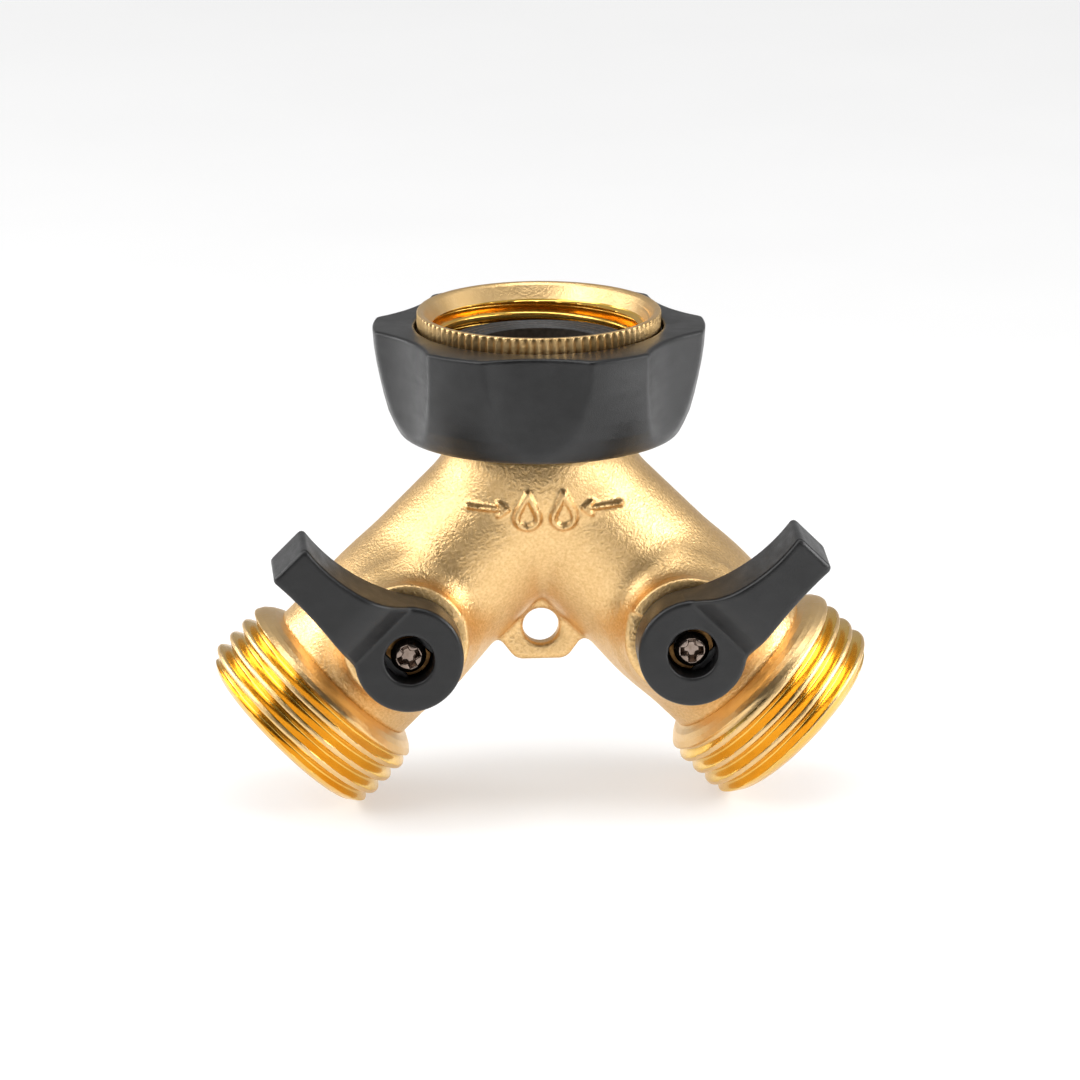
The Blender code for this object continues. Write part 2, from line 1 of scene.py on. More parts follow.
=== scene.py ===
"""Looks for the hose splitter: finer brass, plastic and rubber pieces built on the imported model.

Lengths inside the shape functions are millimetres, in the row frame unless a function says
otherwise. Curved pieces with blends are signed distance fields turned into meshes; turned pieces
are lathed.
"""

import json
import math

import bpy
import numpy as np
from mathutils import Matrix, Vector


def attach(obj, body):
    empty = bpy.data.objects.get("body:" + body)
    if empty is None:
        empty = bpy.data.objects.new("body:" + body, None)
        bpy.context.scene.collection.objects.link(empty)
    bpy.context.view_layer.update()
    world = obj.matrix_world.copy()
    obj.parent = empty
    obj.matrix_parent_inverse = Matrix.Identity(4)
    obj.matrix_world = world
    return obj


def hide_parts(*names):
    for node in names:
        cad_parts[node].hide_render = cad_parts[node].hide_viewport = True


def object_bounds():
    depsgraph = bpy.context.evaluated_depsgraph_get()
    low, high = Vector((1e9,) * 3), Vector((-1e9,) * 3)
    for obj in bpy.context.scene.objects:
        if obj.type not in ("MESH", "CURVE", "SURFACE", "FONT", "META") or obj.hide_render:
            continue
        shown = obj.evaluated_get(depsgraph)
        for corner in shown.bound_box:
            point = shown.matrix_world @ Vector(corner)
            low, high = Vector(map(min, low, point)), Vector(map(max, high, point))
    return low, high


MM = 0.001
HALF_ROOT = math.sqrt(0.5)
SHARP_ANGLE = math.radians(50)  # faces that meet at more than this keep a sharp edge
NEWTON_ROUNDS = 3
SIDES = {-1: "left", 1: "right"}

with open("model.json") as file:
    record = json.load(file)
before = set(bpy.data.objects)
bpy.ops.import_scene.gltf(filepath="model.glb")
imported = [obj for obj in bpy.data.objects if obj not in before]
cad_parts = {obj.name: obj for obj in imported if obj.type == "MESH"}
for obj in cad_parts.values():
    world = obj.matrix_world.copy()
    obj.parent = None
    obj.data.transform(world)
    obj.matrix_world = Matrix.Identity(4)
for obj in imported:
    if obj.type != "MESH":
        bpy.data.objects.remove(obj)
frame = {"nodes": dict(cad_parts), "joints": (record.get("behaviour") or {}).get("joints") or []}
cad_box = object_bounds()
joints = {joint["name"]: Vector(joint["pos_m"]) for joint in frame["joints"]}
valve_centre = {side: joints[f"{name}_lever_turn"] / MM for side, name in SIDES.items()}
REACH = abs(valve_centre[1].x)  # sideways from the inlet axis to a ball's centre
JUNCTION = valve_centre[1].z + REACH  # height of the point where the three axes meet

# Hose thread
PITCH = 25.4 / 11.5
THREAD_START = {-1: 37.9, 1: 37.05}
MALE_RADIUS = 13.3
MALE_DEPTH = 1.2
MALE_HALF_WIDTH = 1.0
MALE_FADE = (36.2, 37.1)  # distances along a leg over which the groove begins
FEMALE_START = -9.54
FEMALE_CREST = 12.3
FEMALE_DEPTH = 1.45
FEMALE_HALF_WIDTH = 0.92

# Y body: a leg, by distance along it from the junction
LEG_RADIUS = 10.45
SHOULDER = 34.9
OUTLET_END = 45.3
PASSAGE_PLACES = (-1, 16.69, 16.7, 32.44, 32.45, 40)
PASSAGE_RADII = (5.0, 5.0, 7.6, 7.6, 8.9, 8.9)

# Y body: neck, hanging tab and raised marks, by height above the junction
NECK_TOP = 13.5
NECK_BORE = 6.6
NECK_HEIGHTS = (-33, -13, -8, -4, -2, -0.5, 1, 2.5, 4.3, 5.6, 20)
NECK_RADII = (-20, 0, 5.4, 9.0, 10.25, 10.8, 10.9, 10.8, 10.5, 9.6, 9.6)
CLIP_GROOVE = (10.25, 0.55, 8.85)  # height of its middle, half its width, radius of its floor
TAB_BOTTOM = -23.15
TAB_HALF_THICK = 1.15
TAB_HOLE = 2.25
TAB_HOLE_DROP = 18.9
RELIEF_HEIGHT = 0.6
BODY_STEP = 0.37
RELIEF_GRID = ((-10.4, 10.4), (-15.4, -10), (-3.8, 2.2)), 0.26  # bands in x, y and z, and step

# Valve, distances forward of the ball's centre and radii about the stem
BOSS_PLACES = (8.6, 9.6, 10.6, 11.6, 12.6)
BOSS_RADII = (9.1, 8.8, 8.4, 8.05, 7.8)
BOSS_FACE = 12.8
STOP_FACE = 14.2
STOP_HALF_ANGLE = math.radians(63)
STEM_END = 17.5
HUB_RADIUS = 6.7
HUB_BACK = 14.5
HUB_FRONT = 20.7
ARM_FRONT = 24.3
ARM_ROOT, ARM_END = 4.1, 20.0  # distances along the arm from the stem's axis
RECESS_RADIUS = 3.05
LEVER_TURN = {-1: math.radians(135), 1: math.radians(45)}
SCREW_TURN = {-1: math.radians(24), 1: math.radians(2)}

# Swivel inlet, heights below the mouth
COLLAR_TOP = 1.5
COLLAR_BOTTOM = 15.1
KNURL_TEETH = 90

# Grip collar, by drop below its top
LAND_DROPS = (-1, 0, 2.5, 4.5, 6.5, 8.5, 10.5, 12.1, 14)
LAND_RADII = (20.7, 20.6, 20.4, 20.1, 19.7, 19.25, 18.7, 18.0, 17.0)
FLUTES = 6
FLUTE_TURN = math.radians(-4.2)
FLUTE_LEAN = math.radians(1.9)
FLUTE_RADIUS = 17.7
FLUTE_FLOOR = 18.2


# ---- Mesh building ----


def mesh_from(name, points, quads, matrix=None):
    """A smooth-shaded object from points in millimetres and quads of point numbers."""
    mesh = bpy.data.meshes.new(name)
    mesh.vertices.add(len(points))
    mesh.vertices.foreach_set("co", (np.asarray(points, float) * MM).astype(np.float32).ravel())
    mesh.loops.add(quads.size)
    mesh.loops.foreach_set("vertex_index", quads.astype(np.int32).ravel())
    mesh.polygons.add(len(quads))
    mesh.polygons.foreach_set("loop_start", np.arange(0, quads.size, 4, dtype=np.int32))
    mesh.update(calc_edges=True)
    if matrix is not None:
        mesh.transform(matrix)
    mesh.shade_smooth()
    mesh.set_sharp_from_angle(angle=SHARP_ANGLE)
    made = bpy.data.objects.new(name, mesh)
    bpy.context.scene.collection.objects.link(made)
    return made


def surface(name, field, low, high, step, matrix=None, fine=None):
    """A mesh on the zero level of field(x, y, z), with its points moved on to the exact surface.

    fine is ((low, high) for each axis, step): the bands in which the grid has a smaller step.
    """
    axes = [np.arange(a, b + step, step) for a, b in zip(low, high)]
    if fine:
        axes = [refined(axis, *span, fine[1]) for axis, span in zip(axes, fine[0])]
    grid = field(axes[0][:, None, None], axes[1][None, :, None], axes[2][None, None, :])
    inside = grid < 0
    shape = tuple(n - 1 for n in grid.shape)
    offsets = [(i, j, k) for i in (0, 1) for j in (0, 1) for k in (0, 1)]

    def corner(values, offset):
        return values[tuple(slice(o, o + n) for o, n in zip(offset, shape))]

    count = sum(corner(inside, o).astype(np.int8) for o in offsets)
    active = (count > 0) & (count < 8)
    cells = np.argwhere(active)
    number = np.full(shape, -1, np.int32)
    number[active] = np.arange(len(cells))

    total, hits = np.zeros((len(cells), 3)), np.zeros(len(cells))
    for axis in range(3):
        unit = np.eye(3, dtype=int)[axis]
        for offset in (np.array(o) for o in offsets if o[axis] == 0):
            near = grid[tuple((cells + offset).T)]
            far = grid[tuple((cells + offset + unit).T)]
            crossing = (near < 0) != (far < 0)
            share = near[crossing] / (near[crossing] - far[crossing])
            total[crossing] += offset + share[:, None] * unit
            hits[crossing] += 1
    places = cells + total / hits[:, None]
    columns = [np.interp(p, np.arange(len(axis)), axis) for p, axis in zip(places.T, axes)]
    points = np.stack(columns, axis=1)
    for _ in range(NEWTON_ROUNDS):
        points -= correction(field, points, step)

    quads = []
    for axis in range(3):
        a, b = (axis + 1) % 3, (axis + 2) % 3
        span = [slice(1, n) for n in shape]
        span[axis] = slice(0, shape[axis])
        ahead = list(span)
        ahead[axis] = slice(1, shape[axis] + 1)
        enters, leaves = inside[tuple(span)], inside[tuple(ahead)]
        edges = np.argwhere(enters != leaves)
        outward = enters[tuple(edges.T)]
        edges += [0 if i == axis else 1 for i in range(3)]
        back_a, back_b = np.eye(3, dtype=int)[a], np.eye(3, dtype=int)[b]
        ring = [edges - back_a - back_b, edges - back_b, edges, edges - back_a]
        faces = np.stack([number[tuple(c.T)] for c in ring], axis=1)
        faces[~outward] = faces[~outward][:, ::-1]
        quads.append(faces)
    return mesh_from(name, points, np.concatenate(quads), matrix)


def refined(axis, low, high, step):
    """An axis of grid places, with those between low and high set a smaller step apart."""
    before, after = axis[axis < low - step / 2], axis[axis > high]
    return np.concatenate([before, np.arange(low, high, step), after])


def correction(field, points, step):
    """One Newton step from points to the zero level of field."""
    x, y, z = points.T
    small = step * 0.2
    slope = np.stack(
        [
            field(x + small, y, z) - field(x - small, y, z),
            field(x, y + small, z) - field(x, y - small, z),
            field(x, y, z + small) - field(x, y, z - small),
        ],
        axis=1,
    ) / (2 * small)
    length = np.maximum((slope**2).sum(axis=1), 0.2)
    return slope * np.clip(field(x, y, z) / length, -step, step)[:, None]


def dense(outline, step):
    """The points of an open outline, with more put in so that none are further apart than step."""
    made = [outline[0]]
    for (r0, h0), (r1, h1) in zip(outline, outline[1:]):
        parts = max(1, math.ceil(math.hypot(r1 - r0, h1 - h0) / step))
        for i in range(1, parts + 1):
            made.append((r0 + (r1 - r0) * i / parts, h0 + (h1 - h0) * i / parts))
    return np.array(made)


def lathed(name, outline, segments, relief=None, matrix=None):
    """A closed outline of (radius, height) turned about Z.

    relief(radius, height, angle) is added to the radius.
    """
    radius, height = outline[:, 0][:, None], outline[:, 1][:, None]
    angle = (np.arange(segments) * 2 * math.pi / segments)[None, :]
    shaped = radius + (relief(radius, height, angle) if relief else 0)
    rows = np.broadcast_arrays(shaped * np.cos(angle), shaped * np.sin(angle), height)
    points = np.stack(rows, axis=-1).reshape(-1, 3)
    i, j = np.meshgrid(np.arange(len(outline)), np.arange(segments), indexing="ij")
    up, along = (i + 1) % len(outline), (j + 1) % segments
    ring = [i * segments + j, i * segments + along, up * segments + along, up * segments + j]
    return mesh_from(name, points, np.stack([c.ravel() for c in ring], axis=1), matrix)


# ---- Distance helpers ----


def least(a, b, blend):
    """The union of two distances, with a fillet."""
    overlap = np.maximum(blend - np.abs(a - b), 0) / blend
    return np.minimum(a, b) - overlap**2 * blend / 4


def most(a, b, blend):
    """The intersection of two distances, with a rounded edge."""
    return -least(-a, -b, blend)


def ease(value, low, high):
    """0 below low, 1 above high, smooth between."""
    share = np.clip((value - low) / (high - low), 0, 1)
    return share * share * (3 - 2 * share)


def circle_through(first, middle, last):
    """Centre and radius of the circle through three points."""
    (ax, ay), (bx, by), (cx, cy) = first, middle, last
    aa, bb, cc = ax**2 + ay**2, bx**2 + by**2, cx**2 + cy**2
    d = 2 * (ax * (by - cy) + bx * (cy - ay) + cx * (ay - by))
    ux = (aa * (by - cy) + bb * (cy - ay) + cc * (ay - by)) / d
    uy = (aa * (cx - bx) + bb * (ax - cx) + cc * (bx - ax)) / d
    return ux, uy, math.hypot(ax - ux, ay - uy)


def thread_groove(height, angle, start, depth, half_width, fade=None):
    """Depth of a right-hand helical groove at a height and angle, fading in between two heights."""
    turns = (height - start) / PITCH - angle / (2 * math.pi)
    centre = np.round(turns)
    away = np.abs(turns - centre) * PITCH / half_width
    begun = ease(start + PITCH * (centre + angle / (2 * math.pi)), *fade) if fade else 1
    section = 0.5 + 0.5 * np.cos(np.pi * np.minimum(away, 1))
    return depth * begun * np.where(away < 1, section, 0)


# ---- Y body ----


def drop_distance(x, z):
    """Distance to a water drop's outline: a round bottom about the origin, rising to a point."""
    radius, tip = 1.35, 3.1
    lean = math.asin(radius / tip)
    cone = np.abs(x) * math.cos(lean) - (tip - z) * math.sin(lean)
    upper = np.where(z > tip, np.hypot(x, z - tip), cone)
    return np.where(z > radius * math.sin(lean), upper, np.hypot(x, z) - radius)


def stroke_distance(x, z, start, end):
    """Distance to a straight line between two points."""
    (ax, az), (bx, bz) = start, end
    share = ((x - ax) * (bx - ax) + (z - az) * (bz - az)) / ((bx - ax) ** 2 + (bz - az) ** 2)
    share = np.clip(share, 0, 1)
    return np.hypot(x - ax - share * (bx - ax), z - az - share * (bz - az))


def leg_axes(away, z):
    """Distances along and across a leg, from those sideways towards it and up."""
    return (away - z) * HALF_ROOT, (away + z) * HALF_ROOT


def relief_height(x, z):
    """Height of the raised marks on the front: two drops between two arrows that point to them."""
    away, up = np.abs(x), z + 1.3
    drop = np.abs(drop_distance(away - 2.25, z + 2.3)) - 0.28
    shaft = stroke_distance(away, up, (5.0, 0.0), (9.5, 0.15))
    barb = stroke_distance(away, np.abs(up), (4.75, 0.0), (5.75, 0.75))
    marks = np.minimum(drop, np.minimum(shaft, barb) - 0.2)
    return RELIEF_HEIGHT * (1 - ease(marks, -0.25, 0.4))


def body_field(x, y, z):
    """The forging, about the junction, with its water ways. The outlets are separate pieces."""
    away = np.abs(x)
    along, across = leg_axes(away, z)
    far_along, far_across = leg_axes(-away, z)
    round_leg = np.hypot(across, y)
    near_leg = np.hypot(round_leg, np.minimum(along, 0)) - LEG_RADIUS
    far_leg = np.hypot(np.hypot(far_across, y), np.minimum(far_along, 0)) - LEG_RADIUS
    solid = least(near_leg, far_leg, 1.2)

    axial = np.hypot(x, y)
    neck = axial - np.interp(z, NECK_HEIGHTS, NECK_RADII)
    solid = least(solid, neck, 2.6)
    solid = most(solid, z - NECK_TOP, 0.6)

    from_boss_x, from_boss_z = away - REACH, z + REACH
    boss_round = np.hypot(from_boss_x, from_boss_z)
    forward = -y
    turn = np.arctan2(np.abs(from_boss_x), from_boss_z)
    flank = boss_round - np.interp(forward, BOSS_PLACES, BOSS_RADII)
    raised = ease(STOP_HALF_ANGLE - turn, -0.02, 0.03) * ease(boss_round, 4.6, 5.1)
    boss = most(flank, forward - BOSS_FACE - (STOP_FACE - BOSS_FACE) * raised, 0.5)
    boss = np.maximum(boss, -forward)
    solid = least(solid, boss, 3.2)

    sides = np.maximum(away * 0.978 + z * 0.205 - 3.9, away * 0.8 - z * 0.6 - 16.4)
    plate = most(most(sides, TAB_BOTTOM - z, 0.8), np.abs(y) - TAB_HALF_THICK, 0.5)
    plate = np.maximum(plate, z + 8)
    solid = least(solid, plate, 1.3)
    hole = np.hypot(x, z + TAB_HOLE_DROP) - TAB_HOLE
    solid = most(solid, -hole, 0.5)
    solid = solid - np.where(y < -4, relief_height(x, z), 0)

    solid = most(solid, along - SHOULDER - 0.05, 0.3)
    bore = np.maximum(axial - NECK_BORE, -2 - z)
    water_way = np.maximum(round_leg - np.interp(along, PASSAGE_PLACES, PASSAGE_RADII), -along)
    solid = most(solid, -np.minimum(bore, water_way), 0.35)
    clip_height, clip_half, clip_floor = CLIP_GROOVE
    clip = np.maximum(np.abs(z - clip_height) - clip_half, clip_floor - axial)
    stem = np.maximum(boss_round - np.where(forward < 9.35, 4.1, 3.2), -forward)
    return most(solid, -np.minimum(clip, stem), 0.3)


def make_body():
    """The forged Y, in a grid that is finer around the raised marks."""
    low, high = (-36.2, -15.4, -36.2), (36.2, 11.6, NECK_TOP + 0.9)
    place = Matrix.Translation((0, 0, JUNCTION * MM))
    body = surface("body_casting", body_field, low, high, BODY_STEP, place, RELIEF_GRID)
    return finished(body, "body", "brass", CAST_BRASS, "valve_body")


def make_outlet(side):
    """The machined end of one leg: shoulder, hose thread, end chamfer and bore."""
    outside = [
        (10.1, 34.6),
        (10.25, SHOULDER - 0.1),
        (10.75, SHOULDER + 0.12),
        (11.5, SHOULDER + 0.35),
        (12.25, SHOULDER + 0.8),
        (12.85, SHOULDER + 1.35),
        (13.2, SHOULDER + 1.95),
        (MALE_RADIUS, SHOULDER + 2.4),
        (MALE_RADIUS, OUTLET_END - 1.35),
        (12.75, OUTLET_END - 0.75),
        (11.9, OUTLET_END - 0.08),
        (11.75, OUTLET_END),
    ]
    inside = [(10.3, OUTLET_END), (9.8, OUTLET_END - 0.5), (9.8, 36.9), (8.95, 36.85), (8.95, 34.6)]
    outline = np.concatenate([dense(outside, 0.1), dense(inside, 0.5)])

    def groove(radius, height, angle):
        start = THREAD_START[side]
        depth = thread_groove(height, angle, start, MALE_DEPTH, MALE_HALF_WIDTH, MALE_FADE)
        cut = np.minimum(radius, MALE_RADIUS - depth) - radius
        return np.where((radius > 10.6) & (height > SHOULDER + 0.9), cut, 0)

    leg = Matrix.Rotation(side * math.radians(135), 4, "Y")
    place = Matrix.Translation((0, 0, JUNCTION * MM)) @ leg
    outlet = lathed(f"{SIDES[side]}_outlet", outline, 320, groove, place)
    finished(outlet, "body", "brass", SATIN_BRASS)

    def in_groove(x, y, z):
        along, across = leg_axes(side * x, z - JUNCTION)
        radial = np.hypot(across, y)
        threaded = (along > SHOULDER + 2.1) & (along < OUTLET_END - 0.3)
        return threaded & (radial < MALE_RADIUS - 0.09)

    add_finish(outlet, THREAD_BRASS[side], in_groove)


# ---- Swivel inlet ----


def make_nut():
    """The inlet nut: rounded rim, straight knurl, lead-in chamfer, female hose thread and lip."""
    outside = [
        (14.75, -13.6),
        (14.75, -2.7),
        (14.95, -2.5),
        (15.02, -0.2),
        (15.05, 0.05),
        (15.0, 0.22),
        (14.88, 0.3),
        (14.6, 0.3),
        (14.4, 0.22),
    ]
    land = [(14.4, 0.22), (14.15, 0.0), (13.3, -1.25), (12.95, -1.75), (FEMALE_CREST, -2.1)]
    threaded = [(FEMALE_CREST, -2.1), (FEMALE_CREST, -7.6)]
    inside = [(12.9, -8.0), (12.9, -11.4), (9.9, -11.4), (9.9, -13.6), (14.75, -13.6)]
    bands = [dense(outside, 0.35), dense(land, 0.1)[1:]]
    bands += [dense(threaded, 0.1)[1:], dense(inside, 0.8)[:-1]]
    outline = np.concatenate(bands)

    def shape(radius, height, angle):
        tooth = 0.5 + 0.5 * np.cos(KNURL_TEETH * angle)
        knurled = (radius > 14.9) * ease(-height, -0.25, 0.1) * (height > -2.55)
        groove = thread_groove(height, angle, FEMALE_START, FEMALE_DEPTH, FEMALE_HALF_WIDTH)
        cut = np.maximum(radius, FEMALE_CREST + groove) - radius
        inner = (radius < 14.15) & (height < -0.1)
        return knurled * (0.1 - 0.38 * tooth) + np.where(inner, cut, 0)

    nut = lathed("knurled_nut", outline, 6 * KNURL_TEETH, shape)
    finished(nut, "swivel", "brass", SATIN_BRASS, "swivel_nut")
    add_finish(nut, MACHINED_BRASS, lambda x, y, z: (np.hypot(x, y) < 13.85) & (z < -1.55))


def add_finish(obj, material, where):
    """Gives the faces whose middles satisfy where(x, y, z), in millimetres, a second material."""
    obj.data.materials.append(material)
    centres = np.empty(len(obj.data.polygons) * 3)
    obj.data.polygons.foreach_get("center", centres)
    chosen = where(*(centres.reshape(-1, 3).T / MM))
    obj.data.polygons.foreach_set("material_index", chosen.astype(np.int32))


def collar_field(x, y, z):
    """The grip: a tapered barrel with six flutes, each the mark of a slightly tilted cylinder."""
    radial = np.hypot(x, y)
    drop = -z - COLLAR_TOP
    barrel = (radial - np.interp(drop, LAND_DROPS, LAND_RADII)) * 0.97
    sector = 2 * math.pi / FLUTES
    turn = np.arctan2(x, -y) - FLUTE_TURN
    folded = turn - sector * np.round(turn / sector)
    ahead, aside = radial * np.cos(folded), radial * np.sin(folded)
    centre = FLUTE_FLOOR + FLUTE_RADIUS - drop * math.tan(FLUTE_LEAN)
    flute = np.hypot(ahead - centre, aside) - FLUTE_RADIUS
    grip = most(barrel, -flute, 0.3)
    grip = most(grip, drop - (COLLAR_BOTTOM - COLLAR_TOP), 0.7)
    grip = most(grip, -drop, 0.45)
    bore = np.where(drop < 1.45, 15.42, 15.0)
    hollow = np.maximum(radial - bore, z - 1)
    hollow = np.maximum(hollow, -(z + 13.75))
    lip = radial - 11.5
    return most(most(grip, -hollow, 0.4), -lip, 0.4)


def make_collar():
    """The moulded grip over the nut."""
    low, high = (-20.9, -20.9, -15.7), (20.9, 20.9, -0.9)
    collar = surface("fluted_collar", collar_field, low, high, 0.26)
    return finished(collar, "swivel", "black_plastic", COLLAR_PLASTIC, "grip_collar")


def make_washer():
    """The hose washer, with fine concentric sealing ridges."""
    top, bottom, hole, rim = -3.85, -7.45, 8.3, 12.0
    radius = np.arange(hole, rim + 0.01, 0.08)
    share = (radius - hole) / (rim - hole)
    ridges = 0.3 * (0.5 - 0.5 * np.cos(2 * math.pi * share * 4)) * ease(share, 0, 0.1)
    ridges = ridges * (1 - ease(share, 0.9, 1))
    upper = np.stack([radius, top - 0.3 + ridges], axis=1)
    lower = np.stack([radius, bottom + 0.3 - ridges], axis=1)[::-1]
    washer = lathed("ribbed_washer", np.concatenate([upper, lower])[::-1], 180)
    return finished(washer, "swivel", "rubber", RUBBER, "inlet_washer")


# ---- Valves ----


UPPER_EDGE = circle_through((4.4, 5.05), (12.0, 2.05), (20.0, 1.95))
LOWER_EDGE = circle_through((20.0, -3.9), (12.0, -4.05), (4.0, -5.4))


def lever_field(along, across, forward):
    """The lever about the ball's centre: along the arm, across it on the inlet side, forward."""
    radial = np.hypot(along, across)
    hub = most(radial - HUB_RADIUS, np.abs(forward - (HUB_FRONT + HUB_BACK) / 2) - 3.1, 0.65)

    ux, uy, ur = UPPER_EDGE
    lx, ly, lr = LOWER_EDGE
    upper = ur - np.hypot(along - ux, across - uy)
    lower = lr - np.hypot(along - lx, across - ly)
    arm = most(upper, lower, 0.5)
    arm = most(arm, along - ARM_END, 0.8)
    ramp = (forward - HUB_FRONT) * 0.697 - (along - 4.4) * 0.717
    top = most(ramp, forward - ARM_FRONT, 1.6)
    arm = most(arm, top, 0.65)
    arm = most(arm, HUB_BACK - forward, 0.5)
    arm = np.maximum(arm, ARM_ROOT - along)
    solid = least(hub, arm, 0.25)

    sleeve = np.maximum(radial - 4.7, np.abs(forward - 14.0) - 0.9)
    turn = np.arctan2(np.abs(across), -along)
    lug = np.maximum(np.maximum(radial - 5.9, 4.0 - radial), (turn - math.radians(70)) * 5)
    lug = np.maximum(lug, np.abs(forward - 14.2) - 1.1)
    solid = least(solid, np.minimum(sleeve, lug), 0.3)

    recess = np.maximum(radial - RECESS_RADIUS, STEM_END - forward)
    stem = np.maximum(radial - RECESS_RADIUS, np.abs(across) - 2.05)
    solid = most(solid, -least(recess, stem, 0.1), 0.35)
    pocket = np.maximum(np.maximum(9.5 - along, along - 18.9), np.abs(across + 0.95) - 1.35)
    return most(solid, -np.maximum(pocket, forward - 22.8), 0.4)


def screw_field(along, across, forward):
    """The pan head, with a cross recess that narrows as it goes in."""
    radial = np.hypot(along, across)
    top = 19.28 - 0.055 * radial**2 - 0.6 * ease(radial, 1.45, 2.2)
    head = most(most(radial - 2.2, forward - top, 0.35), 17.58 - forward, 0.1)
    depth = forward - 18.1
    reach, width = 0.85 + 0.6 * depth, 0.3 + 0.14 * depth
    first = np.maximum(np.abs(along) - reach, np.abs(across) - width)
    second = np.maximum(np.abs(across) - reach, np.abs(along) - width)
    cross = least(first, second, 0.6)
    cross = np.maximum(cross, -depth)
    shank = np.maximum(np.maximum(radial - 1.1, 10.4 - forward), forward - 18)
    return np.minimum(most(head, -cross, 0.2), shank)


def valve_matrix(side, turn, flip=1):
    """From a valve's own axes (along, across, forward) to the row frame."""
    out = Vector((math.cos(turn), 0, math.sin(turn)))
    over = Vector((-math.sin(turn), 0, math.cos(turn))) * flip
    rows = Matrix((out, over, Vector((0, -1, 0)))).transposed().to_4x4()
    return Matrix.Translation(valve_centre[side] * MM) @ rows


def make_valve(side):
    """The lever and its screw. The left lever is the mirror image of the right one."""
    name = SIDES[side]
    place = valve_matrix(side, LEVER_TURN[side], side)
    low, high = (-7.3, -7.3, 12.6), (20.7, 7.3, 24.9)
    lever = surface(f"{name}_lever_moulding", lever_field, low, high, 0.19, place)
    flip_faces_if_mirrored(lever, place)
    finished(lever, f"{name}_valve", "black_plastic", LEVER_PLASTIC, f"{name}_lever")
    cross = valve_matrix(side, SCREW_TURN[side])
    low, high = (-2.4, -2.4, 10.2), (2.4, 2.4, 19.6)
    screw = surface(f"{name}_screw", screw_field, low, high, 0.075, cross)
    flip_faces_if_mirrored(screw, cross)
    finished(screw, f"{name}_valve", "steel", PLATED_STEEL_PAINTED_SHADE, f"{name}_lever_screw")


def flip_faces_if_mirrored(obj, matrix):
    """Turns a mesh's faces outward again after a mirroring matrix."""
    if matrix.determinant() < 0:
        obj.data.flip_normals()


# ---- Materials ----


class Nodes:
    """A Principled material, with short calls for the nodes that drive it."""

    def __init__(self, name, metallic, **sockets):
        self.material = bpy.data.materials.new(name)
        self.material.use_nodes = True
        self.tree = self.material.node_tree
        self.shader = self.tree.nodes["Principled BSDF"]
        self.shader.inputs["Metallic"].default_value = metallic
        for socket, value in sockets.items():
            self.shader.inputs[socket.replace("_", " ")].default_value = value
        self.place = self.tree.nodes.new("ShaderNodeTexCoord").outputs["Object"]

    def link(self, output, node, socket):
        self.tree.links.new(output, node.inputs[socket])

    def stretched(self, scale, turn=0.0):
        """Object coordinates in millimetres, turned about Y and scaled, for grain one way."""
        rotate = self.tree.nodes.new("ShaderNodeVectorRotate")
        rotate.rotation_type = "Y_AXIS"
        rotate.inputs["Angle"].default_value = turn
        self.link(self.place, rotate, "Vector")
        multiply = self.tree.nodes.new("ShaderNodeVectorMath")
        multiply.operation = "MULTIPLY"
        multiply.inputs[1].default_value = [s / MM for s in scale]
        self.link(rotate.outputs[0], multiply, 0)
        return multiply.outputs[0]

    def noise(self, size, detail=2.0, roughness=0.5, vector=None):
        """Noise with features about size millimetres across."""
        node = self.tree.nodes.new("ShaderNodeTexNoise")
        node.inputs["Scale"].default_value = (1.0 if vector else 1 / MM) / size
        node.inputs["Detail"].default_value = detail
        node.inputs["Roughness"].default_value = roughness
        self.link(vector or self.place, node, "Vector")
        return node.outputs["Fac"]

    def ramp(self, value, low, high, at_low, at_high):
        """A colour or grey that goes from at_low to at_high as value goes from low to high."""
        node = self.tree.nodes.new("ShaderNodeValToRGB")
        stops = node.color_ramp.elements
        for stop, position, colour in zip(stops, (low, high), (at_low, at_high)):
            stop.position = position
            stop.color = (*colour, 1) if isinstance(colour, tuple) else (colour, colour, colour, 1)
        self.link(value, node, "Fac")
        return node.outputs["Color"]

    def bump(self, height, distance, strength=1.0, under=None):
        node = self.tree.nodes.new("ShaderNodeBump")
        node.inputs["Strength"].default_value = strength
        node.inputs["Distance"].default_value = distance * MM
        self.link(height, node, "Height")
        if under:
            self.link(under, node, "Normal")
        return node.outputs["Normal"]

    def set(self, socket, output):
        self.link(output, self.shader, socket)
        return self


def cast_brass():
    """Forged brass, blasted to an even fine grain, with soft unevenness left by the die."""
    made = Nodes("cast_brass", 1.0)
    grain = made.noise(0.34, 2, 0.55)
    dark, light = (0.755, 0.485, 0.205), (0.905, 0.625, 0.305)
    made.set("Base Color", made.ramp(grain, 0.32, 0.68, dark, light))
    made.set("Roughness", made.ramp(made.noise(0.9, 2), 0.3, 0.7, 0.36, 0.44))
    uneven = made.bump(made.noise(2.6, 2), 0.07)
    made.set("Normal", made.bump(grain, 0.085, 1.0, uneven))
    return made.material


def turned_brass(name, turn=0.0, along=True):
    """Bright machined brass: fine rings left by the tool if along, and faint handling marks."""
    made = Nodes(name, 1.0)
    tone = made.noise(5.0, 2)
    made.set("Base Color", made.ramp(tone, 0.3, 0.7, (0.84, 0.50, 0.10), (0.90, 0.58, 0.14)))
    if along:
        rings = made.noise(0.12, 2, 0.6, made.stretched((0.02, 0.02, 1.0), turn))
    else:
        rings = made.noise(0.2)
    made.set("Roughness", made.ramp(made.noise(0.7, 3), 0.3, 0.75, 0.16, 0.27))
    marks = made.bump(made.noise(1.6, 2), 0.03)
    made.set("Normal", made.bump(rings, 0.006, 1.0, marks))
    return made.material


